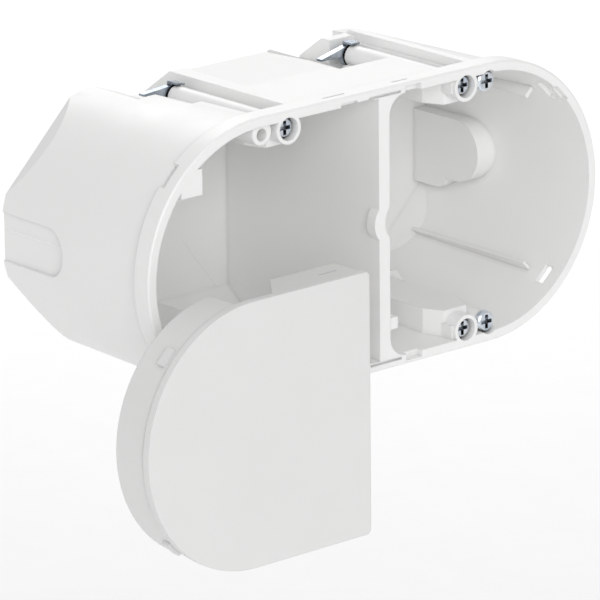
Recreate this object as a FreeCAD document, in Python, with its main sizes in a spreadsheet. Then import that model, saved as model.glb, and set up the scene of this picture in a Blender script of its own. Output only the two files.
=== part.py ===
"""Two-compartment back box for hollow walls, with its taken-off compartment cover.

Frame: X to the right, Y into the wall, Z up. The origin is the centre of the rim's front plane.
The body looks the same after half a turn about Y, apart from the partition and the small details.
"""

import FreeCAD, Part
import os
import re

SIZES = {
    # Outline: two round lobes on the centres of the two drilled holes
    "lobe_offset": 36.4,
    "collar_radius": 34.7,
    "collar_depth": 5.2,
    "collar_chamfer": 0.4,
    "rim_width": 2.45,
    "collar_overhang": 1.5,
    "body_draft": 1.4,
    "body_depth": 57.5,
    "side_wall": 1.8,
    "back_wall": 2,
    "facet_chord": 28.5,
    "facet_slope": 0.46,
    # Middle plateau, which stands proud of the lobes at the top and bottom
    "plateau_setback": 0.7,
    "plateau_slope_length": 9.2,
    "plateau_slope_drop": 6.6,
    "pad_left": 18.6,
    "pad_right": 8.5,
    "pad_front": 25,
    "pad_drop": 1.4,
    # Partition between the compartments
    "partition_width": 3.4,
    "kink_height": 1.5,
    "kink_shift": 1.45,
    "kink_radius": 5.57,
    "kink_depth": 3,
    "flare_radius": 5,
    # Claw screws, their tubes and the recesses in which the claws are stowed
    "claw_screw_offset": 28,
    "claw_screw_inset": 2.05,
    "claw_boss_radius": 3.7,
    "claw_boss_length": 9,
    "claw_head_radius": 2.5,
    "claw_head_height": 2,
    "claw_head_depth": 1.5,
    "head_clearance": 0.25,
    "shank_radius": 1.5,
    "shank_clearance": 0.06,
    "claw_screw_overrun": 3,
    "tube_radius": 2.6,
    "tube_length": 35.4,
    "recess_front": 9,
    "recess_half_width": 4.4,
    "recess_inner_reach": 4.5,
    "tube_bed": 1.6,
    "hub_bed": 3.2,
    "bay_width": 8.8,
    "bay_lead": 1.4,
    "bay_bed": 1.3,
    "bay_rise": 2,
    "side_gap_width": 3.1,
    "side_gap_front": 26,
    "ledge_width": 1.4,
    "ledge_rise": 1.6,
    "fence_width": 2.7,
    "rear_slot_width": 2.2,
    "rear_block_drop": 0.8,
    "screw_end_gap": 0.6,
    "ramp_left": 7.5,
    "ramp_front": 22.3,
    "ramp_bed": 2.6,
    # Inner walls that follow the recesses
    "floor_wall": 1.4,
    "bulge_side_wall": 1.6,
    "bulge_front": 4,
    "ramp_bulge_lead": 4,
    "bay_bulge_run": 5.1,
    # Device screws and their bosses
    "device_screw_offset": 35.5,
    "device_screw_inset": 2.25,
    "device_boss_radius": 2.9,
    "device_boss_shift": 0.4,
    "device_boss_front": 1,
    "device_boss_back": 24,
    "device_head_radius": 2.6,
    "device_head_height": 1.6,
    "device_head_depth": 1,
    "device_hole_depth": 21,
    "device_shank_length": 18,
    # Cross slots and edges of the screw heads
    "head_edge": 0.4,
    "cross_slot_width": 0.95,
    "cross_slot_half_length": 1.7,
    "cross_slot_depth": 1.1,
    # Claws
    "claw_thickness": 1.8,
    "claw_gap": 0.4,
    "claw_hub_radius": 2.8,
    "claw_reach": 9.7,
    "claw_tip_height": 0.5,
    "flap_half_width": 1.3,
    "flap_gap": 0.25,
    "flap_thickness": 0.5,
    "flap_overlap": 1.2,
    "outer_claw_tilt": 9,
    "inner_claw_tilt": 0,
    # Cable entries at the two ends
    "entry_half_height": 5.9,
    "entry_front": 34,
    "entry_recess": 2.4,
    "entry_skin": 1.2,
    "channel_depth": 2.6,
    "entry_wall": 2,
    "small_bump_half_height": 2.75,
    "small_bump_drop": 7.95,
    "small_bump_front": 44,
    # Snap windows, lugs, ribs and notches of the rim
    "upper_window_half_length": 3.2,
    "lower_window_half_length": 2.6,
    "window_front": 3.4,
    "window_depth": 2.6,
    "upper_angle": 45,
    "lower_angle": 43,
    "facet_angle": 45,
    "upper_rib_half_width": 0.6,
    "lower_rib_half_width": 0.4,
    "rib_height": 1.2,
    "rib_front": 9.8,
    "rib_length": 40,
    "lug_inset": 7.85,
    "lug_low": 19.5,
    "lug_high": 25.8,
    "lug_width": 6.4,
    "lug_depth": 2,
    "foot_lug_width": 4.2,
    "foot_lug_low": 26,
    "foot_lug_high": 23,
    "foot_lug_front": 2,
    "foot_lug_back": 5,
    "notch_half_length": 2.6,
    "notch_height": 0.45,
    "notch_depth": 1.6,
    "top_notch_left": 11.75,
    "top_notch_middle": 6.65,
    "top_notch_right": 1.5,
    "top_notch_high": 0.95,
    "top_notch_low": 0.4,
    "foot_notch_left": 8.5,
    "foot_notch_right": 13.5,
    "foot_notch_high": 1.55,
    "foot_slit_left": 3,
    "foot_slit_right": 7,
    "foot_slit_low": 32.55,
    "foot_slit_height": 0.6,
    "foot_slit_depth": 0.8,
    "collar_slot_front": 2.3,
    "collar_slot_width": 0.6,
    "collar_slot_depth": 0.8,
    "left_slot_start": 15.3,
    "left_slot_end": 8.6,
    "right_slot_start": 6.3,
    "right_slot_end": 11.2,
    "boss_rib_offset": 24,
    "boss_rib_width": 0.8,
    "boss_rib_height": 3.5,
    "boss_rib_front": 1,
    # Cover of the left compartment
    "cover_gap": 0.2,
    "cover_edge_gap": 1.2,
    "cover_plate": 2,
    "cover_depth": 12,
    "cover_wall": 1.3,
    "cover_corner": 0.6,
    "skirt_gap": 0.75,
    "skirt_end": 3.1,
    "flange_length": 20.1,
    "flange_end_slant": 8,
    "snap_bite": 0.1,
    "snap_play": 0.2,
    "cover_slot_front": 6.9,
    "cover_slot_start": 10.7,
    "cover_slot_length": 5.5,
    "cover_slot_depth": 0.5,
    "cover_slot_width": 0.6,
    "cover_shift_left": 21.7,
    "cover_shift_front": 22,
    "cover_shift_down": 32.4,
}

# Sizes that follow from the driving ones
DERIVED = {
    "mouth_radius": "collar_radius - rim_width",
    "body_front_radius": "collar_radius - collar_overhang",
    "body_back_radius": "body_front_radius - body_draft",
    "cavity_back_radius": "body_back_radius - side_wall",
    "cavity_depth": "body_depth - back_wall",
    "facet_front_chord": "facet_chord + facet_slope * body_depth",
    "cavity_facet_chord": "facet_chord - back_wall + facet_slope * back_wall",
    "cavity_facet_front": "cavity_facet_chord + facet_slope * cavity_depth",
    "plateau_half_width": "claw_screw_offset - recess_inner_reach",
    "plateau_top": "collar_radius - plateau_setback",
    "plateau_slope_front": "body_depth - plateau_slope_length",
    "plateau_back_top": "plateau_top - plateau_slope_drop",
    "above_body": "collar_radius + 2",
    "beyond_end": "lobe_offset + collar_radius + 2",
    "claw_height": "mouth_radius - claw_screw_inset",
    "recess_inner": "plateau_half_width",
    "recess_outer": "claw_screw_offset + recess_half_width",
    "tube_end": "collar_depth + tube_length",
    "hub_front": "tube_end + claw_gap",
    "hub_back": "hub_front + claw_thickness",
    "bay_front": "tube_end - bay_lead",
    "bay_end": "recess_outer + bay_width",
    "tube_floor": "claw_height - tube_bed",
    "hub_floor": "claw_height - hub_bed",
    "bay_floor": "claw_height - bay_bed",
    "ramp_floor": "claw_height - ramp_bed",
    "bay_high_floor": "claw_height + bay_rise",
    "ledge_floor": "claw_height + ledge_rise",
    "fence_left": "recess_outer + ledge_width",
    "fence_right": "fence_left + fence_width",
    "rear_block_left": "recess_inner + rear_slot_width",
    "rear_block_front": "claw_screw_end + screw_end_gap",
    "rear_block_top": "plateau_top - rear_block_drop",
    "bulge_floor": "hub_floor - floor_wall",
    "bulge_inner": "recess_inner - bulge_side_wall",
    "bulge_outer": "recess_outer + bulge_side_wall",
    "bay_bulge_end": "bay_end + bulge_side_wall + bulge_side_wall",
    "claw_head_back": "claw_head_depth + claw_head_height",
    "counterbore_radius": "claw_head_radius + head_clearance",
    "bore_radius": "shank_radius + shank_clearance",
    "claw_screw_end": "hub_back + claw_screw_overrun",
    "device_head_back": "device_head_depth + device_head_height",
    "device_screw_half_pitch": "mouth_radius - device_screw_inset",
    "device_boss_height": "device_screw_half_pitch + device_boss_shift",
    "entry_floor": "lobe_offset + body_front_radius - entry_recess",
    "channel_outer": "entry_floor - entry_skin",
    "channel_inner": "channel_outer - channel_depth",
    "entry_centre": "entry_front + entry_half_height",
    "window_back": "window_front + window_depth",
    "lug_left": "lobe_offset + mouth_radius - lug_inset",
    "cover_radius": "mouth_radius - cover_gap",
    "skirt_radius": "mouth_radius - skirt_gap",
    "skirt_stop": "lobe_offset + skirt_end",
    "flange_left": "-cover_edge_gap - flange_length",
    "snap_radius": "mouth_radius + snap_bite",
    "snap_half_length": "lower_window_half_length - snap_play",
    "snap_front": "window_front + snap_play",
    "snap_back": "window_front + window_depth - snap_play",
}

UP = (0, 0, 1)
INTO_WALL = (0, 1, 0)
TO_RIGHT = (1, 0, 0)
QUARTER = "90"
HALF_TURN = "180"

doc = FreeCAD.newDocument("wall_box")
sheet = doc.addObject("Spreadsheet::Sheet", "Sizes")
for row, (alias, size) in enumerate(SIZES.items(), start=1):
    sheet.set(f"A{row}", alias)
    sheet.set(f"B{row}", str(size))
    sheet.setAlias(f"B{row}", alias)
doc.recompute()


def formula(text):
    """Turn size names into references to the sheet, and derived names into their own formulas."""

    def swap(found):
        word = found.group()
        if word in SIZES:
            return f"Sizes.{word}"
        if word in DERIVED:
            return f"({formula(DERIVED[word])})"
        return word

    return re.sub(r"[a-z_]+", swap, text)


def bind(piece, settings):
    """Bind each property of a piece to a formula of the sheet's sizes."""
    for name, text in settings.items():
        piece.setExpression(name, formula(text))
    return piece


def place(piece, x="0", y="0", z="0", axis=UP, angle="0"):
    """Bind a piece's place to formulas: a turn about the axis, then a shift."""
    shift = f"create(<<vector>>; {x}; {y}; {z})"
    turn = f"create(<<rotation>>; create(<<vector>>; {axis[0]}; {axis[1]}; {axis[2]}); {angle})"
    piece.setExpression("Placement", formula(f"create(<<placement>>; {shift}; {turn})"))
    return piece


def block(name, x, y, z):
    """Plain box between two formulas on each axis."""
    piece = doc.addObject("Part::Box", name)
    bind(piece, {
        "Length": f"({x[1]}) - ({x[0]})",
        "Width": f"({y[1]}) - ({y[0]})",
        "Height": f"({z[1]}) - ({z[0]})",
    })
    return place(piece, x[0], y[0], z[0])


def wedge(name, x, y, z, x_back=None, z_back=None):
    """Box whose back end, at the higher Y, may have other limits than its front end."""
    x_back = x_back or x
    z_back = z_back or z
    return bind(doc.addObject("Part::Wedge", name), {
        "Xmin": x[0], "Xmax": x[1], "X2min": x_back[0], "X2max": x_back[1],
        "Ymin": y[0], "Ymax": y[1],
        "Zmin": z[0], "Zmax": z[1], "Z2min": z_back[0], "Z2max": z_back[1],
    })


def ramp(name, x, y, low_left, low_right, high):
    """Block whose floor runs at a slope along X, from low_left to low_right."""
    across = (f"-({y[1]})", f"-({y[0]})")
    piece = wedge(name, across, x, (low_left, high), z_back=(low_right, high))
    return place(piece, axis=UP, angle=f"-{QUARTER}")


def rod(name, x, z, radius, start, end):
    """Cylinder along Y."""
    piece = bind(doc.addObject("Part::Cylinder", name), {"Radius": radius, "Height": f"({end}) - ({start})"})
    return place(piece, x, start, z, axis=TO_RIGHT, angle=f"-{QUARTER}")


def cone(name, x, z, front_radius, back_radius, start, end):
    """Cone along Y."""
    piece = bind(doc.addObject("Part::Cone", name), {
        "Radius1": front_radius, "Radius2": back_radius, "Height": f"({end}) - ({start})",
    })
    return place(piece, x, start, z, axis=TO_RIGHT, angle=f"-{QUARTER}")


def join(name, pieces):
    """Fusion of several pieces."""
    piece = doc.addObject("Part::MultiFuse", name)
    piece.Shapes = pieces
    return piece


def cut(name, base, tool):
    """The base without the tool."""
    piece = doc.addObject("Part::Cut", name)
    piece.Base = base
    piece.Tool = tool
    return piece


def overlap(name, first, second):
    """What two pieces have in common."""
    piece = doc.addObject("Part::Common", name)
    piece.Base = first
    piece.Tool = second
    return piece


def half_turned(name, source):
    """Copy of a piece, half a turn about Y."""
    piece = doc.addObject("Part::Compound", name)
    piece.Links = [source]
    return place(piece, axis=INTO_WALL, angle=HALF_TURN)


def flipped(name, source, normal):
    """Mirror image of a piece in a plane through the origin."""
    piece = doc.addObject("Part::Mirroring", name)
    piece.Source = source
    piece.Base = FreeCAD.Vector(0, 0, 0)
    piece.Normal = FreeCAD.Vector(*normal)
    return piece


def stadium(name, start, end, front_radius, back_radius, facets=None):
    """Two lobes and the flat-sided part between them, with a draft, and with corner facets at the back."""
    lobes = []
    for side, sign in (("left", "-"), ("right", "")):
        if front_radius == back_radius:
            lobe = rod(f"{name}_{side}_lobe", f"{sign}lobe_offset", "0", front_radius, start, end)
        else:
            lobe = cone(f"{name}_{side}_lobe", f"{sign}lobe_offset", "0", front_radius, back_radius, start, end)
        if facets:
            front, back = facets
            limits = (f"-({front})", front)
            back_limits = (f"-({back})", back)
            corners = wedge(f"{name}_{side}_facets", limits, (start, end), limits, back_limits, back_limits)
            place(corners, x=f"{sign}lobe_offset", axis=INTO_WALL, angle="facet_angle")
            lobe = overlap(f"{name}_{side}_faceted", lobe, corners)
        lobes.append(lobe)
    middle = wedge(f"{name}_middle", ("-lobe_offset", "lobe_offset"), (start, end),
                   (f"-({front_radius})", front_radius), z_back=(f"-({back_radius})", back_radius))
    return join(name, lobes + [middle])


def spoke(name, side, angle, half_width, radii, depths):
    """Block on a radius of one lobe: angle 0 points up, and it grows towards +X."""
    piece = wedge(name, (f"-({half_width})", half_width), depths, radii)
    return place(piece, x=f"{side}lobe_offset", axis=INTO_WALL, angle=angle)


# Spokes on which windows, ribs and snaps lie: end of the box, sign of X, and angle
DIAGONALS = [
    ("upper", "right", "", "upper_angle"),
    ("lower", "right", "", f"{HALF_TURN} - lower_angle"),
    ("upper", "left", "-", "-upper_angle"),
    ("lower", "left", "-", f"lower_angle - {HALF_TURN}"),
]

# Place of each claw: sign of X, sign of Z, and the turn from its drawn place, which points to -X
CLAWS = {
    "top_left": ("-", "", "outer_claw_tilt"),
    "top_right": ("", "", "inner_claw_tilt"),
    "bottom_left": ("-", "-", f"{HALF_TURN} + inner_claw_tilt"),
    "bottom_right": ("", "-", f"{HALF_TURN} + outer_claw_tilt"),
}


def outer_form():
    """Everything of the shell that is seen from outside, still solid."""
    edge = stadium("collar_edge", "0", "collar_chamfer", "collar_radius - collar_chamfer", "collar_radius")
    collar = stadium("collar", "collar_chamfer", "collar_depth", "collar_radius", "collar_radius")
    lobes = stadium("body", "collar_depth", "body_depth", "body_front_radius", "body_back_radius",
                    facets=("facet_front_chord - facet_slope * collar_depth", "facet_chord"))
    plateau = block("plateau", ("-plateau_half_width", "plateau_half_width"), ("collar_depth", "body_depth"),
                    ("-plateau_top", "plateau_top"))
    top_blocks = join("top_blocks", [
        block("fence", ("fence_left", "fence_right"), ("collar_depth", "body_depth"), ("0", "plateau_top")),
        block("rear_block", ("rear_block_left", "fence_left"), ("rear_block_front", "body_depth"),
              ("0", "rear_block_top")),
    ])
    bottom_blocks = half_turned("bottom_blocks", top_blocks)
    return join("outer_form", [edge, collar, lobes, plateau, top_blocks, bottom_blocks, *tubes()])


def tubes():
    """The four round tubes that guide the claw screws."""
    return [
        rod(f"tube_{place_name}", f"{x_sign}claw_screw_offset", f"{z_sign}claw_height", "tube_radius",
            "collar_chamfer", "tube_end")
        for place_name, (x_sign, z_sign, _) in CLAWS.items()
    ]


def partition():
    """Wall between the compartments, with a small kink in its front edge and flared feet on its right."""
    depth = ("0", "cavity_depth")
    kink = ("0", "kink_depth")
    wall = block("partition_wall", ("0", "partition_width"), depth, ("-collar_radius", "collar_radius"))
    round_left = rod("kink_left", "kink_radius - kink_shift", "kink_height", "kink_radius", *kink)
    left_limit = block("kink_limit", ("-kink_shift", "partition_width / 2"), kink,
                       ("kink_height - kink_radius", "kink_height + kink_radius"))
    bulge = overlap("kink_bulge", round_left, left_limit)
    groove = rod("kink_groove", "partition_width - kink_shift + kink_radius", "kink_height", "kink_radius", *kink)
    foot = block("flare_block", ("partition_width", "partition_width + flare_radius"), depth,
                 ("mouth_radius - flare_radius", "collar_radius - collar_overhang"))
    hollow = rod("flare_hollow", "partition_width + flare_radius", "mouth_radius - flare_radius",
                 "flare_radius", *depth)
    flare = cut("flare_top", foot, hollow)
    whole = join("partition_solid", [wall, bulge, flare, flipped("flare_bottom", flare, UP)])
    return cut("partition", whole, groove)


def inner_forms():
    """What stands inside the cavity: bosses, bulges behind the recesses, ribs and lugs."""
    to_back = ("recess_front", "body_depth")
    from_front = ("bulge_front", "recess_front")
    bay_depth = ("bay_front - bulge_side_wall", "body_depth")
    boss_sides = ("claw_screw_offset - claw_boss_radius", "claw_screw_offset + claw_boss_radius")
    boss_sides_left = ("-claw_screw_offset - claw_boss_radius", "claw_boss_radius - claw_screw_offset")
    bed_height = ("bulge_floor", "collar_radius")
    top_bulges = join("top_bulges", [
        block("bulge_left", ("-bulge_outer", "-bulge_inner"), to_back, bed_height),
        wedge("bulge_left_end", boss_sides_left, from_front, bed_height, ("-bulge_outer", "-bulge_inner")),
        block("bulge_right", ("bulge_inner", "bulge_outer"), to_back, bed_height),
        wedge("bulge_right_end", boss_sides, from_front, bed_height, ("bulge_inner", "bulge_outer")),
        ramp("bulge_bay_side", ("-bay_bulge_end", "bay_bulge_run - bay_bulge_end"), bay_depth,
             "bay_high_floor", "bulge_floor", "collar_radius"),
        block("bulge_bay", ("bay_bulge_run - bay_bulge_end", "-recess_outer"), bay_depth, bed_height),
        block("bulge_gap", ("-recess_outer - side_gap_width - bulge_side_wall", "-recess_outer"),
              ("side_gap_front - bulge_side_wall", "body_depth"), ("bay_floor - floor_wall", "collar_radius")),
        ramp("bulge_ramp", ("ramp_left - ramp_bulge_lead", "bulge_inner"),
             ("ramp_front - bulge_side_wall", "body_depth"), "plateau_top", "bulge_floor", "above_body"),
        wedge("bulge_slope", ("-plateau_half_width", "fence_right + side_wall"),
              ("plateau_slope_front - 2 * back_wall", "body_depth"), ("plateau_top", "above_body"),
              z_back=("plateau_back_top - back_wall - side_wall", "above_body")),
    ])
    pieces = [top_bulges, half_turned("bottom_bulges", top_bulges)]
    for place_name, (x_sign, z_sign, _) in CLAWS.items():
        pieces.append(rod(f"claw_boss_{place_name}", f"{x_sign}claw_screw_offset", f"{z_sign}claw_height",
                          "claw_boss_radius", "0", "claw_boss_length"))
        front = "device_head_back" if x_sign == "" else "device_boss_front"
        pieces.append(rod(f"device_boss_{place_name}", f"{x_sign}device_screw_offset",
                          f"{z_sign}device_boss_height", "device_boss_radius", front, "device_boss_back"))
    for height, side, sign, angle in DIAGONALS:
        radii = ("cavity_back_radius - rib_height", "body_back_radius")
        pieces.append(spoke(f"{height}_{side}_rib", sign, angle, f"{height}_rib_half_width", radii,
                            ("rib_front", "rib_front + rib_length")))
    lug = block("lug_top", ("-lug_left", "lug_width - lug_left"), ("0", "lug_depth"), ("lug_low", "lug_high"))
    pieces += [lug, flipped("lug_bottom", lug, UP)]
    pieces.append(block("foot_lug", ("partition_width", "partition_width + foot_lug_width"),
                        ("foot_lug_front", "foot_lug_back"), ("-foot_lug_low", "-foot_lug_high")))
    boss_rib = block("boss_rib_top", ("boss_rib_offset", "boss_rib_offset + boss_rib_width"),
                     ("boss_rib_front", "collar_depth"), ("mouth_radius - boss_rib_height", "mouth_radius"))
    pieces += [boss_rib, flipped("boss_rib_bottom", boss_rib, UP)]
    bump_width = ("channel_inner - entry_wall", "beyond_end")
    bump = entry("entry_bump", bump_width, "entry_half_height + entry_wall", "entry_centre", "0")
    small_bump = entry("small_bump", bump_width, "small_bump_half_height",
                       "small_bump_front + small_bump_half_height", "-small_bump_drop")
    pieces += [bump, flipped("entry_bump_left", bump, TO_RIGHT), small_bump]
    return join("inner_forms", pieces + [partition()])


def entry(name, x, half_height, centre, height):
    """Bar along the right end wall, from a round front end about a centre to the back."""
    nose = bind(doc.addObject("Part::Cylinder", f"{name}_nose"), {
        "Radius": half_height, "Height": f"({x[1]}) - ({x[0]})",
    })
    place(nose, x[0], centre, height, axis=INTO_WALL, angle=QUARTER)
    bar = block(f"{name}_bar", x, (centre, "body_depth"),
                (f"{height} - ({half_height})", f"{height} + {half_height}"))
    return join(name, [nose, bar])


def entries():
    """Shallow recess of each cable entry, and the channel behind its thin skin, which is open at the back."""
    right = join("entry_right", [
        entry("entry_recess", ("entry_floor", "beyond_end"), "entry_half_height", "entry_centre", "0"),
        entry("entry_channel", ("channel_inner", "channel_outer"), "entry_half_height", "entry_centre", "0"),
    ])
    return [right, flipped("entry_left", right, TO_RIGHT)]


def claw_recesses():
    """Pockets beside the plateau in which the claws are stowed, open to the outside and the back."""
    to_back = ("bay_front", "body_depth")
    beds = [
        block("left_bed", ("-recess_outer", "-recess_inner"), ("recess_front", "bay_front"),
              ("tube_floor", "above_body")),
        block("left_hub_bed", ("-recess_outer", "-recess_inner"), to_back, ("hub_floor", "above_body")),
        block("left_gap", ("-recess_outer - side_gap_width", "-recess_outer"), ("side_gap_front", "bay_front"),
              ("bay_floor", "above_body")),
        ramp("left_bay", ("-bay_end", "-recess_outer"), to_back, "bay_high_floor", "bay_floor", "above_body"),
        block("right_bed", ("recess_inner", "recess_outer"), ("recess_front", "bay_front"),
              ("tube_floor", "above_body")),
        block("right_hub_bed", ("recess_inner", "recess_outer"), ("bay_front", "rear_block_front"),
              ("hub_floor", "above_body")),
        block("right_rear_slot", ("recess_inner", "rear_block_left"), ("rear_block_front", "body_depth"),
              ("hub_floor", "above_body")),
        block("right_ledge", ("recess_outer", "fence_left"), ("recess_front", "rear_block_front"),
              ("ledge_floor", "above_body")),
        ramp("right_ramp", ("ramp_left", "recess_inner"), ("ramp_front", "body_depth"),
             "plateau_top", "ramp_floor", "above_body"),
    ]
    guides = join("guide_tubes", [
        rod(f"guide_{side}", f"{sign}claw_screw_offset", "claw_height", "tube_radius", "collar_depth", "tube_end")
        for side, sign in (("left", "-"), ("right", ""))
    ])
    top = cut("top_recesses", join("top_beds", beds), guides)
    return [top, half_turned("bottom_recesses", top)]


def back_slopes():
    """Chamfers of the back edges of the plateau and of the blocks beside it."""
    top = wedge("back_slope", ("-plateau_half_width", "fence_right"), ("plateau_slope_front", "body_depth"),
                ("plateau_top", "above_body"), z_back=("plateau_back_top", "above_body"))
    return [top, half_turned("back_slope_bottom", top)]


def screw_holes():
    """Bores of the claw screws with their counterbores, and the device screws' holes."""
    holes = []
    for place_name, (x_sign, z_sign, _) in CLAWS.items():
        claw_place = (f"{x_sign}claw_screw_offset", f"{z_sign}claw_height")
        holes.append(rod(f"claw_bore_{place_name}", *claw_place, "bore_radius", "0", "hub_front"))
        holes.append(rod(f"counterbore_{place_name}", *claw_place, "counterbore_radius", "0", "claw_head_back"))
        device_place = (f"{x_sign}device_screw_offset", f"{z_sign}device_screw_half_pitch")
        has_screw = x_sign == ""
        holes.append(rod(f"device_hole_{place_name}", *device_place, "bore_radius" if has_screw else "shank_radius",
                         "0", "device_head_back + device_hole_depth"))
        if has_screw:
            holes.append(rod(f"device_pocket_{place_name}", *device_place, "device_head_radius + head_clearance",
                             "0", "device_head_back"))
    return holes


def rim_marks():
    """Snap windows, notches and fine slots of the rim and the collar."""
    marks = []
    for height, side, sign, angle in DIAGONALS:
        marks.append(spoke(f"{height}_{side}_window", sign, angle, f"{height}_window_half_length",
                           ("mouth_radius - rim_width", "above_body"), ("window_front", "window_back")))
    notch_depth = ("0", "notch_depth")
    marks.append(spoke("notch_right", "", "upper_angle", "notch_half_length",
                       ("mouth_radius - rim_width", "mouth_radius + notch_height"), notch_depth))
    marks.append(block("notch_left", ("-top_notch_left", "-top_notch_middle"), notch_depth,
                       ("mouth_radius - rim_width", "mouth_radius + top_notch_high")))
    marks.append(block("notch_middle", ("-top_notch_middle", "-top_notch_right"), notch_depth,
                       ("mouth_radius - rim_width", "mouth_radius + top_notch_low")))
    foot = block("notch_foot", ("foot_notch_left", "foot_notch_right"), notch_depth,
                 ("mouth_radius - rim_width", "mouth_radius + foot_notch_high"))
    slit = block("foot_slit", ("-foot_slit_left", "foot_slit_right"), ("0", "foot_slit_depth"),
                 ("foot_slit_low", "foot_slit_low + foot_slit_height"))
    slot_depth = ("collar_slot_front", "collar_slot_front + collar_slot_width")
    slot_height = ("collar_radius - collar_slot_depth", "above_body")
    left_slot = block("slot_left", ("-left_slot_start", "-left_slot_end"), slot_depth, slot_height)
    right_slot = block("slot_right", ("right_slot_start", "right_slot_end"), slot_depth, slot_height)
    for mark in (foot, slit, left_slot, right_slot):
        marks += [mark, flipped(f"{mark.Name}_bottom", mark, UP)]
    return marks


def box_shell():
    """The one-piece box."""
    cavity = stadium("cavity", "0", "cavity_depth", "mouth_radius", "cavity_back_radius",
                     facets=("cavity_facet_front", "cavity_facet_chord"))
    hollow = cut("hollow", cavity, inner_forms())
    pad = wedge("pad", ("-pad_left", "pad_right"), ("pad_front", "body_depth"), ("plateau_top", "above_body"),
                z_back=("plateau_top - pad_drop", "above_body"))
    tools = [hollow, pad, *entries(), *claw_recesses(), *back_slopes(), *screw_holes(), *rim_marks()]
    return cut("box_shell", outer_form(), join("shell_tools", tools))


def compartment_cover():
    """Cover of the left compartment, drawn in its closed place and then moved to where it lies."""
    plate = join("cover_plate_solid", [
        rod("cover_disc", "-lobe_offset", "0", "cover_radius", "0", "cover_plate"),
        block("cover_sheet", ("-lobe_offset", "-cover_edge_gap"), ("0", "cover_plate"),
              ("-cover_radius", "cover_radius")),
    ])
    ring = cut("skirt_ring", rod("skirt_outside", "-lobe_offset", "0", "skirt_radius", "cover_plate", "cover_depth"),
               rod("skirt_inside", "-lobe_offset", "0", "skirt_radius - cover_wall", "cover_plate", "cover_depth"))
    limit = block("skirt_limit", ("-beyond_end", "-skirt_stop"), ("cover_plate", "cover_depth"),
                  ("-collar_radius", "collar_radius"))
    flange = wedge("flange", ("flange_left - flange_end_slant", "-cover_edge_gap"), ("cover_plate", "cover_depth"),
                   ("skirt_radius - cover_wall", "skirt_radius"), ("flange_left", "-cover_edge_gap"))
    slot_left = "flange_left + cover_slot_start"
    flange_slot = block("flange_slot", (slot_left, f"{slot_left} + cover_slot_length"),
                        ("cover_slot_front", "cover_slot_front + cover_slot_width"),
                        ("skirt_radius - cover_slot_depth", "skirt_radius"))
    snaps = [
        spoke(f"{height}_{side}_snap", sign, angle, "snap_half_length",
              ("skirt_radius - cover_wall / 2", "snap_radius"), ("snap_front", "snap_back"))
        for height, side, sign, angle in DIAGONALS if side == "left"
    ]
    solid = join("cover_solid", [plate, overlap("skirt", ring, limit), flange,
                                 flipped("flange_bottom", flange, UP), *snaps])
    corner = wedge("cover_corner_tool", ("-cover_corner", "cover_corner"), ("0", "cover_depth"),
                   ("-cover_corner", "cover_corner"))
    place(corner, "-cover_edge_gap", "0", "cover_radius", axis=INTO_WALL, angle="facet_angle")
    tools = join("cover_tools", [corner, flipped("cover_corner_bottom", corner, UP), flange_slot])
    cover = cut("compartment_cover", solid, tools)
    return place(cover, "-cover_shift_left", "-cover_shift_front", "-cover_shift_down")


def screw(name, x, z, head_radius, head_front, head_back, end):
    """Screw along Y with a cross slot, its head's front edge chamfered."""
    shaft = [
        cone(f"{name}_edge", x, z, f"{head_radius} - head_edge", head_radius, head_front,
             f"{head_front} + head_edge"),
        rod(f"{name}_head", x, z, head_radius, f"{head_front} + head_edge", head_back),
        rod(f"{name}_shank", x, z, "shank_radius", head_back, f"{end} - shank_radius / 2"),
        cone(f"{name}_point", x, z, "shank_radius", "shank_radius / 2", f"{end} - shank_radius / 2", end),
    ]
    long = ("-cross_slot_half_length", "cross_slot_half_length")
    short = ("-cross_slot_width / 2", "cross_slot_width / 2")
    depth = (head_front, f"{head_front} + cross_slot_depth")
    slots = [
        place(wedge(f"{name}_slot_across", long, depth, short), x=x, z=z),
        place(wedge(f"{name}_slot_upright", short, depth, long), x=x, z=z),
    ]
    return cut(name, join(f"{name}_solid", shaft), join(f"{name}_slots", slots))


def claw(name, x, z, angle):
    """Claw that turns on its screw: a hub, a tapered arm drawn towards -X, and a flap over the tube's end."""
    hub = rod(f"{name}_hub", "0", "0", "claw_hub_radius", "0", "claw_thickness")
    arm = bind(doc.addObject("Part::Wedge", f"{name}_arm"), {
        "Xmin": "0", "Xmax": "claw_thickness", "X2min": "0", "X2max": "claw_thickness",
        "Ymin": "0", "Ymax": "claw_reach",
        "Zmin": "0", "Zmax": "claw_hub_radius", "Z2min": "0", "Z2max": "claw_tip_height",
    })
    place(arm, axis=UP, angle=QUARTER)
    flap = block(f"{name}_flap", ("-flap_half_width", "flap_half_width"), ("-claw_gap - flap_overlap", "0"),
                 ("tube_radius + flap_gap", "tube_radius + flap_gap + flap_thickness"))
    root = block(f"{name}_flap_root", ("-flap_half_width", "flap_half_width"), ("0", "claw_thickness"),
                 ("shank_radius + flap_thickness", "tube_radius + flap_gap + flap_thickness"))
    solid = join(f"{name}_solid", [hub, arm, flap, root])
    hole = rod(f"{name}_hole", "0", "0", "bore_radius", "0", "claw_thickness")
    return place(cut(name, solid, hole), x, "hub_front", z, axis=INTO_WALL, angle=angle)


subparts = [box_shell(), compartment_cover()]
for place_name, (x_sign, z_sign, turn) in CLAWS.items():
    screw_place = (f"{x_sign}claw_screw_offset", f"{z_sign}claw_height")
    subparts.append(screw(f"claw_screw_{place_name}", *screw_place, "claw_head_radius",
                          "claw_head_depth", "claw_head_back", "claw_screw_end"))
    subparts.append(claw(f"claw_{place_name}", *screw_place, turn))
for place_name, z_sign in (("top", ""), ("bottom", "-")):
    subparts.append(screw(f"device_screw_{place_name}", "device_screw_offset", f"{z_sign}device_screw_half_pitch",
                          "device_head_radius", "device_head_depth", "device_head_back",
                          "device_head_back + device_shank_length"))
doc.recompute()

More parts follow.
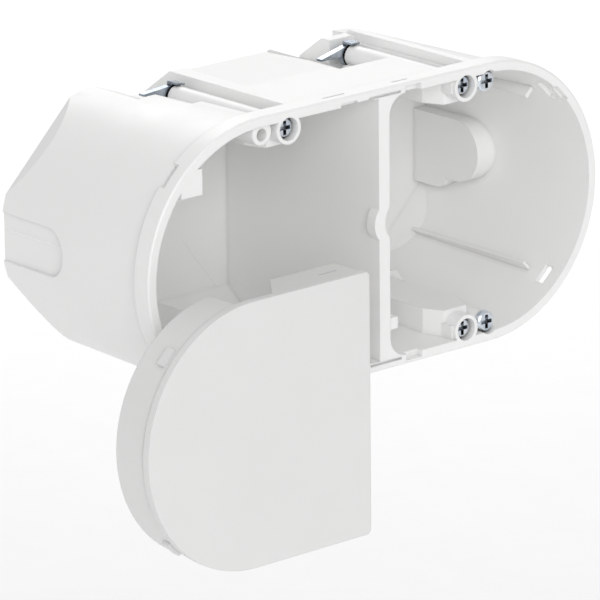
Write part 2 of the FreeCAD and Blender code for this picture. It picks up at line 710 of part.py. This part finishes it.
for piece in doc.Objects:
    for problem in ("Invalid", "Error"):
        if problem in piece.State:
            raise RuntimeError(f"{piece.Name} is {problem}: {piece.getStatusString()}")
for piece in subparts:
    if piece.Shape.isNull() or not piece.Shape.isValid() or not piece.Shape.Solids:
        raise RuntimeError(f"{piece.Label} has no valid solid")

os.makedirs("parts", exist_ok=True)
for piece in subparts:
    piece.Shape.exportStep(f"parts/{piece.Label}.step")
    limits = piece.Shape.BoundBox
    print(piece.Label, len(piece.Shape.Solids), round(piece.Shape.Volume), limits)
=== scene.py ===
# %% [markdown]
# # A two-compartment wall box
# This box is pressed into two overlapping round holes in a plasterboard wall. It is moulded from pale
# plastic, four zinc-plated claws fold out behind the board, and a D-shaped cover lies taken off beside it.
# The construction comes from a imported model, so this file gives it its looks: finishes, threads, fine
# moulded lines, light and a camera. Every length is in metres, with X to the right, Y into the wall and Z up.

# %% Load the frame
import bpy
import math
import numpy as np
from mathutils import Matrix, Vector


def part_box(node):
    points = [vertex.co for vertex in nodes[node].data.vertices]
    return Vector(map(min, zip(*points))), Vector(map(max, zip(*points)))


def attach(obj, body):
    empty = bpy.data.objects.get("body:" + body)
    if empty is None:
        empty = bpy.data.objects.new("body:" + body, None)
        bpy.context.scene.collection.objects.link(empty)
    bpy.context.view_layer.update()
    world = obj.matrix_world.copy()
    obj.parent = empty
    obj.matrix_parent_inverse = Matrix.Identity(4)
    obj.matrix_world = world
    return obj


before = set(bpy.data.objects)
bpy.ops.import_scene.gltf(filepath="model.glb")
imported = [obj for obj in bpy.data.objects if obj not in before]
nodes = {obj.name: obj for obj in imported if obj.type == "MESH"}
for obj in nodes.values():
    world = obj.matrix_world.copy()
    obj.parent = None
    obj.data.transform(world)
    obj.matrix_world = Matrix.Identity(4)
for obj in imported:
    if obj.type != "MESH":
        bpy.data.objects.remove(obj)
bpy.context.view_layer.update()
scene = bpy.context.scene
print("nodes:", sorted(nodes))

# %% [markdown]
# ## Camera
# The box was seen from the upper left through a long lens, which keeps its edges nearly parallel. The angles,
# the distance and the focal length were fitted to points of the box in the picture. They are kept here as
# plain numbers, and the three axes of the camera are worked out from them.

# %% Place the camera
VIEW_AZIMUTH = math.radians(41.125)
VIEW_HEIGHT = math.radians(16.935)
VIEW_ROLL = math.radians(-0.537)
VIEW_DISTANCE = 1.4046
VIEW_SHIFT_RIGHT = -0.01891
VIEW_SHIFT_UP = -0.01606
FOCAL_LENGTH_PIXELS = 5949.8
FRAME_PIXELS = 600
SENSOR_WIDTH = 36

towards_camera = Vector((-math.sin(VIEW_AZIMUTH) * math.cos(VIEW_HEIGHT),
                         -math.cos(VIEW_AZIMUTH) * math.cos(VIEW_HEIGHT), math.sin(VIEW_HEIGHT)))
level_right = (-towards_camera).cross(Vector((0, 0, 1))).normalized()
level_up = level_right.cross(-towards_camera)
camera_right = math.cos(VIEW_ROLL) * level_right + math.sin(VIEW_ROLL) * level_up
camera_up = math.cos(VIEW_ROLL) * level_up - math.sin(VIEW_ROLL) * level_right
camera_place = towards_camera * VIEW_DISTANCE + level_right * VIEW_SHIFT_RIGHT + level_up * VIEW_SHIFT_UP

camera = bpy.data.objects.new("camera", bpy.data.cameras.new("camera"))
scene.collection.objects.link(camera)
camera.data.sensor_width = SENSOR_WIDTH
camera.data.lens = FOCAL_LENGTH_PIXELS / FRAME_PIXELS * SENSOR_WIDTH
turn = Matrix((camera_right, camera_up, towards_camera)).transposed()
camera.matrix_world = Matrix.Translation(camera_place) @ turn.to_4x4()
scene.camera = camera
print("camera at", [round(v, 3) for v in camera_place], "lens", round(camera.data.lens))

# %% [markdown]
# ## Light
# The picture has almost no shadows, and the inside of the box is hardly darker than its outside. So a white
# world gives much of the light, and a large softbox stands beside the camera, where its light reaches the
# bottoms of both compartments. A faint one overhead lifts the top, and a third whitens the floor behind.
# A single strong lamp would be simpler, but its shadows would fill the compartments.

# %% Light the studio
WORLD_STRENGTH = 0.56
scene.view_settings.view_transform = "Standard"
world = bpy.data.worlds.new("studio")
scene.world = world
world.use_nodes = True
world.node_tree.nodes["Background"].inputs["Color"].default_value = (1, 1, 1, 1)
world.node_tree.nodes["Background"].inputs["Strength"].default_value = WORLD_STRENGTH


def softbox(name, place, target, size, power):
    """Square area light at a place, turned to a target."""
    light = bpy.data.lights.new(name, "AREA")
    light.shape = "SQUARE"
    light.size = size
    light.energy = power
    lamp = bpy.data.objects.new(name, light)
    lamp.location = place
    lamp.rotation_euler = (Vector(target) - Vector(place)).to_track_quat("-Z", "Y").to_euler()
    scene.collection.objects.link(lamp)


BOX_MIDDLE = (0, 0, 0)
softbox("beside_camera", (-0.82, -1.27, 0.55), BOX_MIDDLE, size=0.9, power=9.2)
softbox("overhead", (0.1, -0.2, 1.3), BOX_MIDDLE, size=0.9, power=0.6)
softbox("backdrop_light", (1.2, 1.4, 1.2), (0.9, 1.0, -0.3), size=1.5, power=20)

# %% [markdown]
# ## Floor
# The box floats in the picture, so the floor lies well below it: it is large, pale and matt, and it shows
# neither an edge nor a clear shadow. Its finish has a little grain, as a paper roll has.

# %% Lay the floor
FLOOR_HEIGHT = -0.35
FLOOR_REACH = 6
floor_mesh = bpy.data.meshes.new("floor")
floor_mesh.from_pydata([(-FLOOR_REACH, -FLOOR_REACH, FLOOR_HEIGHT), (FLOOR_REACH, -FLOOR_REACH, FLOOR_HEIGHT),
                        (FLOOR_REACH, FLOOR_REACH, FLOOR_HEIGHT), (-FLOOR_REACH, FLOOR_REACH, FLOOR_HEIGHT)],
                       [], [(0, 1, 2, 3)])
floor = bpy.data.objects.new("floor", floor_mesh)
scene.collection.objects.link(floor)
print("floor at", FLOOR_HEIGHT)

# %% [markdown]
# ## Finishes
# Each finish is a small graph of nodes that starts from the object's own coordinates, so that a pattern
# stays in place when a claw or a screw turns. A class keeps the graphs short: its methods add noise, map a
# value to another range, blend two colours, paint shade into crevices, and lay a fine relief over softened
# edges.
# Most of a noise's values lie in its middle, so a band in the middle is what gets spread to the full range.

# %% Helpers for materials
MIDDLE_BAND = (0.3, 0.7)
PAINTED_SHADE_SAMPLES = 8
EDGE_SAMPLES = 4
# The Mix node names its sockets alike for each type, so the colour ones are found by their places.
MIX_FIRST_COLOUR = 6
MIX_SECOND_COLOUR = 7
MIX_COLOUR_RESULT = 2


class Finish:
    """A material whose nodes are added one at a time."""

    def __init__(self, name):
        self.material = bpy.data.materials.new(name)
        self.material.use_nodes = True
        self.tree = self.material.node_tree
        self.shader = self.tree.nodes["Principled BSDF"]
        self.coordinates = self.add("ShaderNodeTexCoord").outputs["Object"]

    def add(self, kind, **settings):
        """New node with some of its settings."""
        node = self.tree.nodes.new(kind)
        for setting, value in settings.items():
            setattr(node, setting, value)
        return node

    def link(self, output, target):
        """Wire from an output to an input."""
        self.tree.links.new(output, target)

    def noise(self, scale, detail=2, stretch=(1, 1, 1)):
        """Noise over the object's coordinates, stretched if asked; the scale counts grains per metre."""
        mapping = self.add("ShaderNodeMapping")
        mapping.inputs["Scale"].default_value = stretch
        self.link(self.coordinates, mapping.inputs["Vector"])
        texture = self.add("ShaderNodeTexNoise")
        texture.inputs["Scale"].default_value = scale
        texture.inputs["Detail"].default_value = detail
        self.link(mapping.outputs["Vector"], texture.inputs["Vector"])
        return texture.outputs["Fac"]

    def spread(self, value, source, result):
        """The value, mapped from one range to another."""
        node = self.add("ShaderNodeMapRange")
        for socket, number in zip(("From Min", "From Max", "To Min", "To Max"), (*source, *result)):
            node.inputs[socket].default_value = number
        self.link(value, node.inputs["Value"])
        return node.outputs["Result"]

    def blend(self, value, first, second):
        """Colour between two colours."""
        node = self.add("ShaderNodeMix", data_type="RGBA")
        node.inputs[MIX_FIRST_COLOUR].default_value = (*first, 1)
        node.inputs[MIX_SECOND_COLOUR].default_value = (*second, 1)
        self.link(value, node.inputs[0])
        return node.outputs[MIX_COLOUR_RESULT]

    def painted_crevice_shade(self, colour, reach, darkest_painted_shade):
        """The colour with painted shade, darker where other surfaces lie within reach."""
        # Painted shade: ambient occlusion darkens the colour in crevices, down to the darkest painted shade.
        shade = self.add("ShaderNodeAmbientOcclusion", samples=PAINTED_SHADE_SAMPLES)
        shade.inputs["Distance"].default_value = reach
        painted_shade_factor = self.spread(shade.outputs["AO"], (0, 1), (darkest_painted_shade, 1))
        mix = self.add("ShaderNodeVectorMath", operation="SCALE")
        self.link(colour, mix.inputs[0])
        self.link(painted_shade_factor, mix.inputs["Scale"])
        return mix.outputs["Vector"]

    def relief(self, height, strength, distance, edge_radius):
        """Bump of a height over normals that are rounded along the edges."""
        edges = self.add("ShaderNodeBevel", samples=EDGE_SAMPLES)
        edges.inputs["Radius"].default_value = edge_radius
        bump = self.add("ShaderNodeBump")
        bump.inputs["Strength"].default_value = strength
        bump.inputs["Distance"].default_value = distance
        self.link(height, bump.inputs["Height"])
        self.link(edges.outputs["Normal"], bump.inputs["Normal"])
        self.link(bump.outputs["Normal"], self.shader.inputs["Normal"])


print("finish helpers ready")

# %% [markdown]
# ### Moulded plastic
# The shell is satin white plastic with a slight warmth, and the cover is a shade greyer. Grains of about
# 0.3 mm make the bump, broad patches change the shade and the gloss as a mould's polish does, and rare,
# stretched scuffs are rougher. A little light passes under the surface, which softens the shading inside.
# An image could carry the grain, but a noise has no seams on the curved lobes. The fine raised lines are the
# palest, a painted highlight where they catch the light: they get no painted crevice shade, and they are too
# thin for scattered light and softened edges, which would turn them dark.

# %% Plastic
GRAIN_SCALE = 3200
GRAIN_STRENGTH = 0.12
GRAIN_DEPTH = 0.00005
PATCH_SCALE = 45
PATCH_ROUGHNESS = (0.36, 0.46)
SCUFF_SCALE = 160
SCUFF_STRETCH = (1, 1, 5)
SCUFF_BAND = (0.62, 0.72)
SCUFF_ROUGHNESS = 0.12
# Reach and darkest level of the shade painted into the plastic's crevices.
PAINTED_SHADE_REACH = 0.0015
PLASTIC_PAINTED_SHADE_DARKEST = 0.84
EDGE_RADIUS = 0.0003
SCATTER_SHARE = 0.15
SCATTER_REACH = 0.0015
SCATTER_TINT = (1, 1, 0.9)
PLASTIC_IOR = 1.5


def moulded_plastic(name, pale, shaded, darkest_painted_shade=PLASTIC_PAINTED_SHADE_DARKEST, scatter=SCATTER_SHARE,
                    edge_radius=EDGE_RADIUS):
    """Satin plastic between two close shades, with grain, patches of gloss and scuffs."""
    finish = Finish(name)
    patches = finish.noise(PATCH_SCALE, detail=3)
    scuffs = finish.spread(finish.noise(SCUFF_SCALE, detail=4, stretch=SCUFF_STRETCH), SCUFF_BAND, (0, 1))
    tone = finish.spread(patches, MIDDLE_BAND, (0, 1))
    # Painted shade: ambient occlusion darkens the plastic's base colour in crevices.
    colour = finish.painted_crevice_shade(finish.blend(tone, pale, shaded), PAINTED_SHADE_REACH, darkest_painted_shade)
    finish.link(colour, finish.shader.inputs["Base Color"])
    roughness = finish.spread(patches, MIDDLE_BAND, PATCH_ROUGHNESS)
    worn = finish.add("ShaderNodeMath", operation="MULTIPLY_ADD")
    worn.inputs[1].default_value = SCUFF_ROUGHNESS
    finish.link(scuffs, worn.inputs[0])
    finish.link(roughness, worn.inputs[2])
    finish.link(worn.outputs["Value"], finish.shader.inputs["Roughness"])
    finish.relief(finish.noise(GRAIN_SCALE), GRAIN_STRENGTH, GRAIN_DEPTH, edge_radius)
    finish.shader.inputs["Subsurface Weight"].default_value = scatter
    finish.shader.inputs["Subsurface Radius"].default_value = SCATTER_TINT
    finish.shader.inputs["Subsurface Scale"].default_value = SCATTER_REACH
    finish.shader.inputs["IOR"].default_value = PLASTIC_IOR
    return finish.material


shell_plastic = moulded_plastic("shell_plastic", (0.955, 0.955, 0.948), (0.94, 0.94, 0.93))
cover_plastic = moulded_plastic("cover_plastic", (0.82, 0.82, 0.813), (0.805, 0.805, 0.797))
# The fine lines' paler colour is a painted highlight, and they get no painted crevice shade.
painted_highlight_line_plastic = moulded_plastic("painted_highlight_line_plastic", (0.99, 0.99, 0.985), (0.98, 0.98, 0.975),
                               darkest_painted_shade=1, scatter=0, edge_radius=0)
print("plastics:", shell_plastic.name, cover_plastic.name, painted_highlight_line_plastic.name)

# %% [markdown]
# ### Zinc plate
# The screws are bright, bluish zinc on steel, and the claws are duller and darker. Tumbling leaves fine
# streaks and a mottled gloss. A painted map could give them, but a stretched noise is simpler, and it stays
# with each screw as it turns. The cross slots and other crevices get painted shade: ambient occlusion darkens
# the colour, and its darkest shade goes below zero, so it reaches black before a crevice is fully closed.

# %% Zinc
STREAK_SCALE = 900
STREAK_STRENGTH = 0.25
STREAK_DEPTH = 0.00004
MOTTLE_SCALE = 420
MOTTLE_BAND = (0.35, 0.65)
ZINC_ROUGHNESS = (0.18, 0.36)
PAINTED_SLOT_SHADE_REACH = 0.0012
METAL_EDGE_RADIUS = 0.00012


def zinc(name, bright, blue, streak_direction, darkest_painted_shade):
    """Zinc plating with streaks along a direction, a mottled gloss and painted shade in crevices."""
    finish = Finish(name)
    finish.shader.inputs["Metallic"].default_value = 1
    mottle = finish.noise(MOTTLE_SCALE, detail=4)
    colour = finish.blend(finish.spread(mottle, MOTTLE_BAND, (0, 1)), bright, blue)
    # Painted shade: ambient occlusion darkens the zinc's colour in slots and crevices.
    finish.link(finish.painted_crevice_shade(colour, PAINTED_SLOT_SHADE_REACH, darkest_painted_shade), finish.shader.inputs["Base Color"])
    finish.link(finish.spread(mottle, MIDDLE_BAND, ZINC_ROUGHNESS), finish.shader.inputs["Roughness"])
    streaks = finish.noise(STREAK_SCALE, detail=3, stretch=streak_direction)
    finish.relief(streaks, STREAK_STRENGTH, STREAK_DEPTH, METAL_EDGE_RADIUS)
    return finish.material


# The darkest painted shade lies below zero, and deepest on the claws.
screw_zinc = zinc("screw_zinc", (0.9, 0.93, 0.97), (0.68, 0.76, 0.86), (1, 5, 1), darkest_painted_shade=-0.25)
claw_zinc = zinc("claw_zinc", (0.52, 0.56, 0.61), (0.3, 0.35, 0.42), (6, 1, 6), darkest_painted_shade=-0.9)
print("zinc:", screw_zinc.name, claw_zinc.name)

# %% [markdown]
# ### Floor paper
# The floor is matt white paper from a roll. One noise of its fibres changes both its shade and its roughness
# a little. It needs no relief, because it lies far below the box.

# %% Floor paper
FIBRE_SCALE = 70
PAPER_PALE = (0.93, 0.93, 0.93)
PAPER_SHADED = (0.91, 0.91, 0.91)
PAPER_ROUGHNESS = (0.82, 0.95)
paper = Finish("floor_paper")
fibres = paper.noise(FIBRE_SCALE, detail=3)
paper.link(paper.blend(fibres, PAPER_PALE, PAPER_SHADED), paper.shader.inputs["Base Color"])
paper.link(paper.spread(fibres, MIDDLE_BAND, PAPER_ROUGHNESS), paper.shader.inputs["Roughness"])
floor_mesh.materials.append(paper.material)
print("floor:", paper.material.name)

# %% [markdown]
# ## Dress the construction
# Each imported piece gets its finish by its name. The record's material slots say the same, so a later scene
# can repaint them together.

# %% Give each node its finish


def finish_of(name):
    """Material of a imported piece, by its name."""
    if name == "box_shell":
        return shell_plastic
    if name == "compartment_cover":
        return cover_plastic
    return screw_zinc if "screw" in name else claw_zinc


for name, node in nodes.items():
    node.data.materials.clear()
    node.data.materials.append(finish_of(name))
    print(f"{name:28} {finish_of(name).name}")

# %% [markdown]
# ## Closed tubes of rings
# Every added detail is a row of closed rings, joined by quads and shut by a point at each end. The rings come
# from a formula over a grid, so a whole surface is computed at once. The sign of its volume shows whether
# its faces look outwards, and if they don't, the rings are taken in the other direction.

# %% Build a surface from rings
CUBIC_MM = 1e9


def ring_surface(name, rings, body, finish):
    """Closed mesh through rings, an array of shape (rings, points, 3), which rides on a body."""
    count, around, _ = rings.shape
    index = np.arange(count * around).reshape(count, around)
    beside = np.roll(index, -1, axis=1)
    quads = np.stack([index[:-1], beside[:-1], beside[1:], index[1:]], axis=-1).reshape(-1, 4)
    first, last = count * around, count * around + 1
    start_cap = np.stack([beside[0], index[0], np.full(around, first)], axis=-1)
    end_cap = np.stack([index[-1], beside[-1], np.full(around, last)], axis=-1)
    points = np.vstack([rings.reshape(-1, 3), rings[0].mean(axis=0), rings[-1].mean(axis=0)])
    triangles = np.vstack([quads[:, [0, 1, 2]], quads[:, [0, 2, 3]], start_cap, end_cap])
    corners = points[triangles]
    volume = np.einsum("ij,ij->", corners[:, 0], np.cross(corners[:, 1], corners[:, 2])) / 6
    faces = quads.tolist() + start_cap.tolist() + end_cap.tolist()
    if volume < 0:
        faces = [face[::-1] for face in faces]
    mesh = bpy.data.meshes.new(name)
    mesh.from_pydata(points.tolist(), [], faces)
    mesh.shade_smooth()
    mesh.materials.append(finish)
    piece = bpy.data.objects.new(name, mesh)
    scene.collection.objects.link(piece)
    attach(piece, body)
    print(f"{name}: {len(points)} points, {abs(volume) * CUBIC_MM:.2f} mm3")


# %% [markdown]
# ### Threads of the claw screws
# A screw's thread is a cylinder whose radius rises and falls along a helix. The phase of a point is its
# depth divided by the pitch, minus its angle in turns. A triangle wave of that phase gives the flanks, and
# it fades out towards both ends. A modifier could wind a profile instead, but the formula gives a closed
# surface at once. Only the part behind each claw is seen, so only that part is made.

# %% Thread the screw ends
THREAD_ROOT = 0.00151
THREAD_CREST = 0.00166
THREAD_PITCH = 0.0006
THREAD_START = 0.0429
THREAD_END = 0.0450
THREAD_RUN_OUT = 0.5 * THREAD_PITCH
THREAD_RINGS = 43
THREAD_SECTORS = 48


def thread(name, axis_x, axis_z, body):
    """Helical thread: root radius plus the thread's depth times a wave of (y / pitch - angle in turns)."""
    y = np.linspace(THREAD_START, THREAD_END, THREAD_RINGS)[:, None]
    angle = np.linspace(0, 2 * np.pi, THREAD_SECTORS, endpoint=False)[None, :]
    phase = (y / THREAD_PITCH - angle / (2 * np.pi)) % 1
    wave = 1 - np.abs(2 * phase - 1)
    fade = np.minimum(1, np.minimum(y - THREAD_START, THREAD_END - y) / THREAD_RUN_OUT)
    radius = THREAD_ROOT + (THREAD_CREST - THREAD_ROOT) * wave * fade
    x = axis_x + radius * np.cos(angle)
    z = axis_z + radius * np.sin(angle)
    rings = np.stack(np.broadcast_arrays(x, y, z), axis=-1)
    ring_surface(name, rings, body, screw_zinc)


for corner in ("top_left", "top_right", "bottom_left", "bottom_right"):
    low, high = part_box(f"claw_screw_{corner}")
    thread(f"thread_{corner}", (low[0] + high[0]) / 2, (low[2] + high[2]) / 2, f"claw_screw_{corner}")

# %% [markdown]
# ### Fine moulded lines
# A pale line runs slantwise over the left back wall, and one crosses the shallow recess of each cable entry;
# their paleness is a painted highlight.
# Each is a low, rounded ridge. Its cross-section is an ellipse that lies half in the wall. Its size falls off
# towards both ends as the fourth root of a parabola does, so the ends are blunt, and they are closed. A bump
# could draw the lines too, but it has no edge that catches the light.

# %% Ridges
RIDGE_WIDTH = 0.00045
RIDGE_HEIGHT = 0.00012
RIDGE_RINGS = 25
RIDGE_SECTORS = 16
SMALLEST_TAPER = 1e-4


def ridge(name, start, end, outwards):
    """Elliptic bar from start to end: centre plus the taper times the ellipse across and out of the wall."""
    start, end, outwards = np.array(start), np.array(end), np.array(outwards, float)
    along = (end - start) / np.linalg.norm(end - start)
    across = np.cross(along, outwards)
    t = np.linspace(0, 1, RIDGE_RINGS)[:, None]
    taper = np.maximum(1 - (2 * t - 1) ** 2, SMALLEST_TAPER) ** 0.25
    angle = np.linspace(0, 2 * np.pi, RIDGE_SECTORS, endpoint=False)[None, :]
    centre = start + t[..., None] * (end - start)
    sideways = (taper * RIDGE_WIDTH / 2 * np.cos(angle))[..., None] * across
    upwards = (taper * RIDGE_HEIGHT * np.sin(angle))[..., None] * outwards
    ring_surface(name, centre + sideways + upwards, "shell", painted_highlight_line_plastic)


BACK_WALL = 0.0555
SLANT_LINE_TOP = (-0.0140, BACK_WALL, -0.0114)
SLANT_LINE_FOOT = (-0.0005, BACK_WALL, -0.0284)
ENTRY_FLOOR = 0.0672
ENTRY_LINE_FRONT = 0.0355
ENTRY_LINE_BACK = 0.0568
ENTRY_LINE_HEIGHT = 0.0017

ridge("back_wall_line", SLANT_LINE_TOP, SLANT_LINE_FOOT, (0, -1, 0))
for side, sign in (("left", -1), ("right", 1)):
    ridge(f"entry_line_{side}", (sign * ENTRY_FLOOR, ENTRY_LINE_FRONT, ENTRY_LINE_HEIGHT),
          (sign * ENTRY_FLOOR, ENTRY_LINE_BACK, ENTRY_LINE_HEIGHT), (sign, 0, 0))
